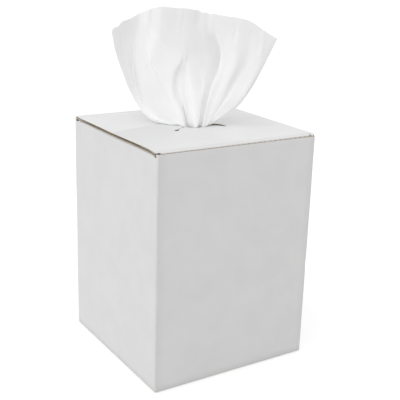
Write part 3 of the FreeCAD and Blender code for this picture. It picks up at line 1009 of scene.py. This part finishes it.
# %% Fold lines, from the edge behind on the left round to the right edge
# Each point is (side, height, towards) in mm, and each line runs from the top edge down to the gather.
fold_lines = {
    "edge_behind": [(-50, 103, -24), (-42, 72, -31), (-30, 40, -25), (-12, 12, -12), (0, -1, -9)],
    "pleat_behind": [(-68, 99, -22), (-62, 72, -31), (-48, 40, -27), (-20, 12, -12), (-7, -1, -8)],
    "side_edge": [
        (-86, 96, 3), (-82, 76, 2), (-74, 53, 0), (-65, 31, -3),
        (-51, 10, -2), (-35, 0, 2), (-12, -5, 13)
    ],
    "corner": [
        (-84, 101, 1), (-79, 75, -1), (-71, 50, -3), (-62, 30, -4),
        (-47, 9, 0), (-32, 1, 5), (-12, -5, 14)
    ],
    "corner_step": [
        (-80, 103, -2), (-77, 80, -6), (-71, 57, -7), (-62, 31, -6),
        (-46, 9, 0), (-30, 1, 6), (-11, -5, 14)
    ],
    "band": [
        (-76, 109, -6), (-73, 82, -11), (-68, 56, -10), (-60, 30, -8),
        (-44, 8, 0), (-27, 0, 8), (-11, -5, 15)
    ],
    "band_step": [
        (-69, 113, -11), (-69, 85, -14), (-66, 57, -12), (-58, 30, -9),
        (-42, 8, 0), (-26, 1, 8), (-10, -5, 15)
    ],
    "band_hollow": [
        (-60, 119, -14), (-62, 95, -16), (-65, 72, -15), (-62, 48, -12),
        (-54, 25, -8), (-40, 7, 0), (-25, 1, 9), (-10, -6, 15)
    ],
    "band_crest": [
        (-52, 122, -11), (-57, 96, -12), (-62, 72, -10), (-58, 46, -6),
        (-49, 22, -3), (-36, 7, 3), (-23, 1, 10), (-9, -6, 16)
    ],
    "left_bulge": [
        (-47, 123, -6), (-50, 95, -7), (-52, 72, -4), (-47, 45, 3),
        (-37, 23, 8), (-20, 4, 13), (-8, -6, 16)
    ],
    "left_crest": [
        (-44, 124, -6), (-45, 96, -5), (-46, 70, 2), (-39, 45, 9),
        (-28, 25, 12), (-16, 8, 15), (-7, -6, 17)
    ],
    "left_valley": [
        (-40, 124, -3), (-40, 94, -1), (-42, 66, 3), (-31, 43, 7),
        (-22, 25, 11), (-12, 7, 15), (-7, -6, 17)
    ],
    "left_layer": [
        (-35, 124, 2), (-33, 92, 2), (-13, 72, 4), (-20, 54, 7),
        (-21, 34, 10), (-11, 12, 13), (-5, -6, 14)
    ],
    "hollow": [
        (-18, 123, 2), (-19, 100, 2), (-10, 74, 3), (-16, 54, 3),
        (-16, 34, 5), (-8, 13, 8), (-4, -5, 10)
    ],
    "small_ridge": [
        (-13, 123, 2), (-14, 100, 2), (-8, 73, 3), (-12, 53, 3),
        (-11, 33, 8), (-6, 11, 12), (-2, -5, 11)
    ],
    "tongue_foot": [
        (-9, 123, 2), (-10, 98, 2), (-7, 73, 2), (-8, 53, 3),
        (-6, 33, 7), (-4, 12, 9), (0, -6, 13)
    ],
    "tongue": [(-1, 122, 1), (-2, 97, 1), (-5, 70, 2), (-2, 44, 8), (2, 20, 14), (3, 4, 17), (4, -6, 18)],
    "tongue_side": [
        (4, 122, -2), (4, 98, -1), (8, 70, -2), (8, 48, 3),
        (9, 24, 12), (8, 6, 15), (6, -6, 16)
    ],
    "before_fold": [
        (8, 120, -2), (10, 98, -2), (17, 71, -5), (14, 50, 0),
        (11, 30, 9), (9, 10, 13), (7, -5, 11)
    ],
    "deep_fold": [
        (12, 120, -2), (15, 99, -3), (28, 72, -11), (23, 50, -6),
        (17, 30, 4), (11, 9, 11), (9, -5, 10)
    ],
    "fold_floor": [
        (16, 119, -2), (18, 99, -2), (31, 72, -12), (26, 50, -7),
        (20, 30, 4), (14, 9, 10), (10, -5, 10)
    ],
    "fold_back": [
        (19, 119, -1), (22, 99, -1), (31, 72, -6), (26, 50, 0),
        (20, 30, 7), (14, 9, 11), (10, -5, 12)
    ],
    "front_edge": [
        (24, 118, 0), (24, 99, 0), (29, 76, 2), (27, 60, 5),
        (20, 40, 9), (15, 18, 13), (11, -5, 14)
    ],
    "wing_crest": [
        (33, 116, 2), (34, 95, 2), (37, 72, 5), (31, 50, 8),
        (23, 29, 10), (17, 10, 12), (14, -4, 12)
    ],
    "wing_crease": [
        (43, 115, 3), (45, 93, 5), (45, 68, 8), (37, 45, 10),
        (29, 25, 11), (20, 9, 11), (15, -4, 11)
    ],
    "wing_valley": [
        (58, 111, 5), (59, 90, 4), (55, 68, 5), (43, 45, 7),
        (34, 25, 9), (22, 8, 10), (16, -4, 10)
    ],
    "wing_bulge": [
        (68, 105, 6), (67, 86, 6), (62, 65, 7), (49, 43, 8),
        (36, 24, 10), (23, 6, 9), (17, -3, 7)
    ],
    "rim_inner": [
        (74, 101, 7), (72, 82, 7), (66, 58, 8), (54, 32, 10),
        (40, 16, 9), (25, 4, 8), (17, -2, 5)
    ],
    "rim": [(77, 99, 7), (75, 83, 7), (68, 58, 8), (56, 31, 9), (42, 16, 8), (25, 3, 6), (17, -2, 4)],
    "right_edge": [
        (87, 93, 8), (80, 77, 6), (70, 55, 7), (61, 38, 7),
        (48, 20, 6), (32, 9, 3), (17, -2, 0)
    ],
}
print(len(fold_lines), "fold lines")


# %% [markdown]
# ### Curves through the points
# A centripetal spline passes through every given point without the loops that an even one makes where
# points lie close together. The same function runs down each line and then across all of them.


# %% Smooth curve through points
def smooth_curve(points, samples):
    """Rows of points through a row of given ones, with several samples for each span."""
    p = np.concatenate([2 * points[:1] - points[1:2], points, 2 * points[-1:] - points[-2:-1]])
    gap = np.maximum(np.linalg.norm(np.diff(p, axis=0), axis=-1, keepdims=True), 1e-7) ** 0.5
    out = []
    for n in range(1, len(p) - 2):
        before, here, after = gap[n - 1], gap[n], gap[n + 1]
        step = p[n + 1] - p[n]
        start = ((p[n] - p[n - 1]) / before - (p[n + 1] - p[n - 1]) / (before + here)) * here + step
        end = ((p[n + 2] - p[n + 1]) / after - (p[n + 2] - p[n]) / (here + after)) * here + step
        for share in np.arange(samples) / samples:
            a, b = share**3, share**2
            out.append(
                (2 * a - 3 * b + 1) * p[n]
                + (a - 2 * b + share) * start
                + (3 * b - 2 * a) * p[n + 1]
                + (a - b) * end
            )
    out.append(p[-2])
    return np.array(out)


def even_steps(path, count):
    """The same path with its points spaced evenly along it."""
    length = np.concatenate([[0], np.cumsum(np.linalg.norm(np.diff(path, axis=0), axis=1))])
    wanted = np.linspace(0, length[-1], count)
    return np.column_stack([np.interp(wanted, length, path[:, axis]) for axis in range(3)])


# %% [markdown]
# ### The tail and the small creases
# Below the hole the cloth hangs as a narrow tail down to its perforation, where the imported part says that
# it ends. Some short creases of the fan lie between the fold lines, so they are given on their own.

# %% Lines below the lid
tail_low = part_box("lead_wipe")[0].z
tail_radius = 13 * mm
tail_start = 0.12  # share of the way down where the tail's own points start
tail_squeeze = 0.32  # how much narrower the tail gets on its way
tail_loosening = 0.62  # above 0.5, it is a little wider again at its end


def tail_points(side, toward, count):
    """The gathered cloth from the hole down to the perforation, in metres, slightly loosened at its end."""
    root = side_way * side * mm + toward_way * toward * mm
    points = []
    for share in np.linspace(tail_start, 1, count):
        spread = 1 - tail_squeeze * math.sin(math.pi * min(1, share * tail_loosening))
        flat = Vector((root.x, root.y, 0)) * spread
        if flat.length > tail_radius:
            flat *= tail_radius / flat.length
        points.append(flat + Z * (lid_top - (lid_top - tail_low) * share))
    return points


# %% Small creases: points (side, height), how far they stand out and their half width, all in mm
creases = [
    {"path": [(-45, 98), (-42, 90), (-36, 74)], "out": 0.9, "width": 2.4},
    {"path": [(-45, 67), (-42, 57)], "out": -1.2, "width": 1.0},
    {"path": [(-37, 15), (-28, 3)], "out": 1.0, "width": 2.2},
    {"path": [(-7, 71), (-6, 66)], "out": -0.8, "width": 1.4},
    {"path": [(44, 113), (43, 90)], "out": -0.7, "width": 1.6},
]


def crease_depth(side, height):
    """How far all the creases move points that lie at these places on the fan, in mm."""
    total = np.zeros_like(side)
    for crease in creases:
        knots = np.array([(a, b, 0.0) for a, b in crease["path"]])
        path = even_steps(smooth_curve(knots, 12), 40)[:, :2]
        apart = np.hypot(side[..., None] - path[:, 0], height[..., None] - path[:, 1])
        near = apart.min(axis=-1)
        share = apart.argmin(axis=-1) / (len(path) - 1)
        fade = np.sin(np.pi * np.clip(0.06 + 0.88 * share, 0, 1)) ** 0.6
        total += crease["out"] * fade * np.exp(-((near / crease["width"]) ** 2))
    return total


# %% Run the cloth down its fold lines
fan_rows = 96
tail_rows = 26
curve_samples = 24  # samples for each span down a line
span_samples = 11  # columns of the cloth from one line to the next


def cloth_lines():
    """Every fold line as evenly spaced points, from the top edge down to the perforation."""
    lines = []
    for points in fold_lines.values():
        climb = [side_way * s * mm + Z * (lid_top + h * mm) + toward_way * t * mm for s, h, t in points]
        fan = even_steps(smooth_curve(np.array(climb), curve_samples), fan_rows)
        tail = tail_points(points[-1][0], points[-1][2], tail_rows)
        lines.append(np.concatenate([fan, np.array(tail)]))
    return np.array(lines)


# %% [markdown]
# ### Pleats below the lid
# The web is as wide as the roll is tall, and all of that width passes through a hole as wide as two
# fingers. So below the lid the cloth is packed into fine pleats. They follow the cloth's own width, not
# the hole's round, and start a little under the lid, where the fold lines end. The gather in the hole
# itself has none, so it holds less cloth than it should.

# %% Pleat the tail
tail_pleats = 26
pleat_depth = 1.75 * mm
pleat_start_rows = 7  # rows over which the pleats grow to their depth


def pleat_tail(grid):
    """Moves the tail's points to and fro across the cloth, which packs about 200 of its 238 mm into it."""
    columns = np.arange(grid.shape[1])
    turns = tail_pleats * columns / columns[-1]
    for row in range(fan_rows, len(grid)):
        grow = min(1.0, (row - fan_rows) / pleat_start_rows)
        along = np.gradient(grid[row, :, :2], axis=0)
        along /= np.maximum(np.linalg.norm(along, axis=1, keepdims=True), 1e-7)
        drift = 0.05 * math.sin(row * 0.3)
        uneven = [1 + 0.25 * noise.noise(Vector((turn * 0.9, row * 0.02, 6))) for turn in turns]
        wave = np.sin(2 * math.pi * (turns + drift)) * np.array(uneven) * pleat_depth * grow
        grid[row, :, 0] -= along[:, 1] * wave
        grid[row, :, 1] += along[:, 0] * wave
    return grid


# %% [markdown]
# ### Where the cloth rests
# The lid carries the foot of the fan, and the hole's edge holds the gather. The lid's own function `bent`
# tells how high its surface is under a point, so cloth that would sink into the lid is lifted onto it, and
# cloth beside the gather is drawn into the hole.

# %% Rest on the lid and in the hole
throat = hole_radius - 0.5 * mm
cloth_clearance = 0.5 * mm
gather_rows = 6  # the fan's lowest rows, which may pass through the hole


def lid_surface(point):
    """Height of the lid's top under a point."""
    return bent(Vector((point[0], point[1], lid_top))).z


def settle(grid):
    """Adds the cloth's small waver and keeps it on top of the lid and its petals, or inside the hole."""
    rows, columns = grid.shape[:2]
    for row in range(rows):
        share = row / fan_rows
        for column in range(columns):
            x, y, z = grid[row, column]
            across = column / columns
            fine = noise.noise(Vector((across * 24, share * 3.5, 2))) * 0.6
            fine += noise.noise(Vector((across * 70, share * 10, 9))) * 0.16
            size = mm * (0.9 if row < fan_rows else 0.25)
            away = toward_way * fine * size
            grid[row, column] += away
            radius = math.hypot(x, y)
            low = lid_surface(grid[row, column]) + cloth_clearance
            if radius > hole_radius and row < fan_rows - gather_rows:
                grid[row, column, 2] = max(grid[row, column, 2], low)
            elif radius > throat and z < low + cloth_clearance:
                grid[row, column, :2] *= throat / radius
    return grid


def lay_cloth():
    lines = cloth_lines()
    grid = np.ascontiguousarray(np.moveaxis(smooth_curve(lines, span_samples), 0, 1))
    fan = grid[:fan_rows]
    forward = fan @ np.array(toward_way.to_2d().to_3d()) / toward_way.to_2d().length_squared
    side = fan @ np.array(side_way) / mm
    height = (fan[..., 2] - lid_top - forward * toward_way.z) / mm
    fan += crease_depth(side, height)[..., None] * mm * np.array(toward_way)
    grid = settle(pleat_tail(grid))
    for row in (0, fan_rows // 2, fan_rows - 1, fan_rows + tail_rows - 1):
        wide = np.linalg.norm(np.diff(grid[row], axis=0), axis=1).sum()
        print(f"row {row} of the cloth is {wide / mm:.0f} mm wide")
    long = np.linalg.norm(np.diff(grid, axis=0), axis=2).sum(axis=0)
    print(f"the cloth is {long.mean() / mm:.0f} mm long on average")
    return grid


# %% [markdown]
# ### The cloth's mesh
# Both cloths in the box are made by one function: a flat grid, whose points are then moved to their places.
# Its UV map says where each point lies on the flat cloth, in metres.


# %% Cloth as a grid of faces
def cloth_object(name, grid, width, length):
    """A grid whose points are moved to their places, with a UV map in metres of flat cloth."""
    rows, columns = grid.shape[:2]
    bm = bmesh.new()
    bmesh.ops.create_grid(bm, x_segments=columns - 1, y_segments=rows - 1, size=0.5)
    layer = bm.loops.layers.uv.new("cloth")
    places = {}
    for vertex in bm.verts:
        column = round((vertex.co.x + 0.5) * (columns - 1))
        row = round((0.5 - vertex.co.y) * (rows - 1))
        places[vertex.index] = (row, column)
    for face in bm.faces:
        for loop in face.loops:
            row, column = places[loop.vert.index]
            loop[layer].uv = (width * column / (columns - 1), length * row / (rows - 1))
    for vertex in bm.verts:
        vertex.co = Vector(grid[places[vertex.index]])
    return smooth(make_object(name, bm, cloth), 180)


cloth_thickness = 0.45 * mm
wipe_width = 0.238
wipe_length = 0.176  # the mean length that was measured on the cloth just laid
lead_wipe = cloth_object("lead_wipe_cloth", lay_cloth(), wipe_width, wipe_length)
thicken(lead_wipe, cloth_thickness, offset=0.0)

# %% [markdown]
# ## The roll
# The wipes are one long perforated web, wound without a core. From above, the roll shows the edges of its
# turns as a fine spiral with the small steps that winding leaves. The turns here are thicker than cloth is,
# so that each can be seen. The roll is grown ring by ring, up the outside, over the top and down the core,
# and then the spiral is pressed into its top.


# %% Roll sizes
roll_low, roll_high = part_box("wipe_roll")
roll_radius = roll_high.x
roll_base, roll_top = roll_low.z, roll_high.z
core_radius = 25 * mm
turn_pitch = 1.7 * mm
print(f"{(roll_radius - core_radius) / turn_pitch:.0f} turns from the core to the outside")


# %% Wind the roll
def spiral(point):
    """Where a point lies on the spiral: how deep in a groove, in which winding and how far round."""
    radius = point.to_2d().length
    turn = math.atan2(point.y, point.x) / (2 * math.pi)
    groove = 0.5 + 0.5 * math.cos(2 * math.pi * (radius / turn_pitch - turn))
    return groove, math.floor(radius / turn_pitch - turn), turn


def turn_height(point):
    """How far the spiral of turns lies under the roll's top at a point."""
    groove, wound, turn = spiral(point)
    step = noise.noise(Vector((wound * 0.37, turn * 1.5, 1))) * 0.5 + noise.noise(point * 45) * 0.5
    return (0.9 * groove + 0.9 * abs(step)) * mm


def between_turns(point):
    """How much painted shade a point gets: 1 in the groove between two turns at the roll's ends, and 0 on the
    turns.
    """
    groove, wound, turn = spiral(point)
    loose = 0.55 + 0.45 * noise.noise(Vector((wound * 0.7, turn * 2, 9)))
    return groove**3 * loose


def map_round(bm):
    """A UV map in metres: round the axis at a mean radius, and up or in towards it."""
    mean_radius = 0.06
    layer = bm.loops.layers.uv.new("cloth")
    for face in bm.faces:
        middle = face.calc_center_median()
        facing = math.atan2(middle.y, middle.x)
        for loop in face.loops:
            co = loop.vert.co
            turn = math.atan2(co.y, co.x)
            turn += 2 * math.pi * round((facing - turn) / (2 * math.pi))
            loop[layer].uv = (turn * mean_radius, co.z - co.to_2d().length)


def wind_roll():
    bm = bmesh.new()
    bmesh.ops.create_circle(bm, segments=144, radius=core_radius)
    bmesh.ops.translate(bm, verts=bm.verts, vec=Z * roll_base)
    rings = [(roll_radius - 1 * mm, roll_base), (roll_radius, roll_base + 1 * mm)]
    rings += [(roll_radius, roll_base + (roll_top - roll_base) * s) for s in (0.2, 0.4, 0.6, 0.8)]
    rings += [(roll_radius, roll_top - 2 * mm), (roll_radius - 0.5 * mm, roll_top - 0.6 * mm)]
    across = roll_radius - 1 * mm - core_radius
    count = int(across / (turn_pitch / 4))
    rings += [(roll_radius - 1 * mm - across * n / count, roll_top) for n in range(count + 1)]
    rings += [(core_radius, roll_top - (roll_top - roll_base) * s) for s in (0.02, 0.2, 0.4, 0.6, 0.8, 1.0)]
    edges = bm.edges[:]
    for radius, height in rings:
        edges = extrude_rim(bm, edges, lambda p: (p * Vector((1, 1, 0))).normalized() * radius + Z * height)
    bmesh.ops.remove_doubles(bm, verts=bm.verts, dist=joined)
    # how much painted shade each groove gets, which the cloth's material reads
    layer = bm.verts.layers.float.new("between_turns")
    for vertex in bm.verts:
        if vertex.co.z > roll_top - 0.1 * mm:
            vertex[layer] = between_turns(vertex.co)
            vertex.co.z -= turn_height(vertex.co)
        elif vertex.co.to_2d().length > roll_radius - 0.1 * mm:
            dent = 0.6 * mm * (1 + noise.noise(vertex.co * 22))
            vertex.co -= (vertex.co * Vector((1, 1, 0))).normalized() * dent
    bmesh.ops.recalc_face_normals(bm, faces=bm.faces)
    map_round(bm)
    return smooth(make_object("roll_turns", bm, cloth), 50)


roll_turns = wind_roll()

# %% [markdown]
# ### The web in the core
# The innermost turn leaves the core's wall and is drawn up towards the hole. It gathers into a loose
# twisted rope on the way, up to the perforation where it ends when a wipe has been torn off. Its pleats
# reach their depth a little below mid height and keep it from there, while the rope goes on narrowing.


# %% Feed web
web_low, web_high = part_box("feed_web")
web_pleats = 12
web_round = math.radians(352)  # how far round the web goes, which leaves its two edges apart
web_twist = math.radians(70)  # from foot to top
web_profile = [(0.0, 24.6), (0.12, 24.4), (0.35, 22.5), (0.6, 19.0), (0.8, 16.0), (1.0, 13.0)]


def web_radius(share):
    for (start, wide), (end, narrow) in zip(web_profile, web_profile[1:]):
        if share <= end:
            part = (share - start) / (end - start)
            return (wide + (narrow - wide) * part) * mm
    return web_profile[-1][1] * mm


def draw_web():
    """The web's points from its foot up: a tube that folds into pleats, narrows and twists."""
    rows, columns = 60, 260
    grid = np.zeros((rows, columns, 3))
    for row in range(rows):
        share = row / (rows - 1)
        deep = min(1.0, share / 0.45) ** 1.3
        for column in range(columns):
            along = column / (columns - 1)
            turn = along * web_round + web_twist * share**1.6 + math.radians(4)
            pleat = web_pleats * 2 * math.pi * along + 1.5 * noise.noise(Vector((along * 6, share * 1.2, 4)))
            fold = 0.5 - 0.5 * math.cos(pleat)
            depth = (8.9 + 1.6 * noise.noise(Vector((along * 9, 3, share)))) * deep * mm
            radius = web_radius(share) * 0.985 - depth * fold
            radius += 0.25 * mm * noise.noise(Vector((along * 30, share * 5, 7))) * share
            lean = 0.09 * deep * math.sin(pleat)
            height = web_low.z + 0.2 * mm + (web_high.z - web_low.z - 1 * mm) * share
            grid[row, column] = (radius * math.cos(turn + lean), radius * math.sin(turn + lean), height)
    return grid


web_length = 0.099  # the mean length that was measured on this web
feed_web = cloth_object("feed_web_cloth", draw_web()[::-1], wipe_width, web_length)
thicken(feed_web, cloth_thickness, offset=0.0)

# %% [markdown]
# ## Floor, light and camera
# The carton stands on a plain pale floor in soft studio light: an even world light and one large lamp at
# the upper left. The floor shows a little light of its own to the camera, so that it looks white but
# keeps the carton's shadow.


# %% Floor
def make_floor():
    bm = bmesh.new()
    bmesh.ops.create_circle(bm, cap_ends=True, segments=64, radius=14)
    material, tree, shader = start_material("floor_white", 0.9, 0.0)
    shader.inputs["Base Color"].default_value = (0.50, 0.50, 0.50, 1)
    seen = tree.nodes.new("ShaderNodeLightPath")
    glow = add(tree, "ShaderNodeMath", operation="MULTIPLY")
    glow.inputs[1].default_value = 0.58
    direct = add(tree, "ShaderNodeMath", operation="MAXIMUM")
    tree.links.new(seen.outputs["Is Camera Ray"], direct.inputs[0])
    tree.links.new(seen.outputs["Is Glossy Ray"], direct.inputs[1])
    tree.links.new(direct.outputs[0], glow.inputs[0])
    shader.inputs["Emission Color"].default_value = (1, 1, 1, 1)
    tree.links.new(glow.outputs[0], shader.inputs["Emission Strength"])
    floor = make_object("floor", bm, material)
    floor.location.z = -0.0005
    return floor


floor = make_floor()
floor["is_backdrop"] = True

# %% World light
world_light = 0.82  # what lights the pieces; the camera itself sees a white backdrop


def make_world():
    world = bpy.data.worlds.new("studio")
    bpy.context.scene.world = world
    world.use_nodes = True
    tree = world.node_tree
    background = tree.nodes["Background"]
    background.inputs["Color"].default_value = (1, 1, 1, 1)
    seen = tree.nodes.new("ShaderNodeLightPath")
    direct = add(tree, "ShaderNodeMath", operation="MAXIMUM")
    backdrop = add(tree, "ShaderNodeMath", operation="MAXIMUM")
    strength = tree.nodes.new("ShaderNodeMapRange")
    strength.inputs["To Min"].default_value = world_light
    strength.inputs["To Max"].default_value = 1.0
    tree.links.new(seen.outputs["Is Camera Ray"], direct.inputs[0])
    tree.links.new(seen.outputs["Is Glossy Ray"], direct.inputs[1])
    tree.links.new(direct.outputs[0], backdrop.inputs[0])
    tree.links.new(seen.outputs["Is Transmission Ray"], backdrop.inputs[1])
    tree.links.new(backdrop.outputs[0], strength.inputs["Value"])
    tree.links.new(strength.outputs["Result"], background.inputs["Strength"])


make_world()
print("world light", world_light)

# %% [markdown]
# ### Where the camera stands
# The camera looks at the front left edge from a little above, as one would look at a box on a bench. It is
# turned, tilted and rolled by three angles, and stands off and a little aside from the box's middle.

# %% Camera
camera_distance, camera_aside, camera_above = 0.92485, 0.01286, 0.03895
focal_length = 73.365  # in mm, on a sensor 36 mm wide
azimuth, elevation, roll = (math.radians(a) for a in (-32.772, 17.663, 1.765))
back_way = Vector(
    (math.sin(azimuth) * math.cos(elevation), -math.cos(azimuth) * math.cos(elevation), math.sin(elevation))
)
level_right = Vector((math.cos(azimuth), math.sin(azimuth), 0))
level_up = back_way.cross(level_right)
camera_right = level_right * math.cos(roll) + level_up * math.sin(roll)
camera_up = level_up * math.cos(roll) - level_right * math.sin(roll)
middle = Vector((0, 0, lid_top / 2))
eye = middle + back_way * camera_distance + camera_right * camera_aside + camera_up * camera_above
camera_data = bpy.data.cameras.new("camera")
camera_data.sensor_width = 36
camera_data.lens = focal_length
camera = bpy.data.objects.new("camera", camera_data)
bpy.context.scene.collection.objects.link(camera)
turned = Matrix((camera_right, camera_up, back_way)).transposed()
camera.matrix_world = Matrix.Translation(eye) @ turned.to_4x4()
bpy.context.scene.camera = camera
print("camera at", [round(c, 3) for c in eye])

# %% Lamp
lamp_way = Vector((-0.77, -0.21, 0.60)).normalized()
lamp_size = math.radians(100)  # as wide as a big soft box, so that shadows have soft edges
lamp_data = bpy.data.lights.new("soft_lamp", "SUN")
lamp_data.angle = lamp_size
lamp_data.energy = 0.335 * math.pi
lamp = bpy.data.objects.new("soft_lamp", lamp_data)
bpy.context.scene.collection.objects.link(lamp)
lamp.location = middle + lamp_way * 2.6
lamp.rotation_euler = lamp_way.to_track_quat("Z", "Y").to_euler()
bpy.context.scene.view_settings.view_transform = "Standard"
print("lamp towards", [round(c, 2) for c in lamp_way])

# %% [markdown]
# ## What moves with what
# The lid swings on its crease at the back wall, and takes its cloth along: the first wipe tears at its
# perforation when the lid is opened. Everything else stays with the carton.

# %% Ride and replace
carton_board = [outer_liner, inner_liner, carton_flute_edges, glue_flap, glue_flap_flutes]
lid_board = [lid_outer, lid_inner, lid_flute_edges, tuck_flute_edge, hole_flute_edges]
for piece in [*carton_board, roll_turns, feed_web]:
    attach(piece, "carton_body")
for piece in [*lid_board, lead_wipe]:
    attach(piece, "lid_body")
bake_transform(rear_crease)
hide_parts("carton")
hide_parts("lid")
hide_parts("wipe_roll")
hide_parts("feed_web")
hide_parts("lead_wipe")

# %% Measure the pieces' bounds
low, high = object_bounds()
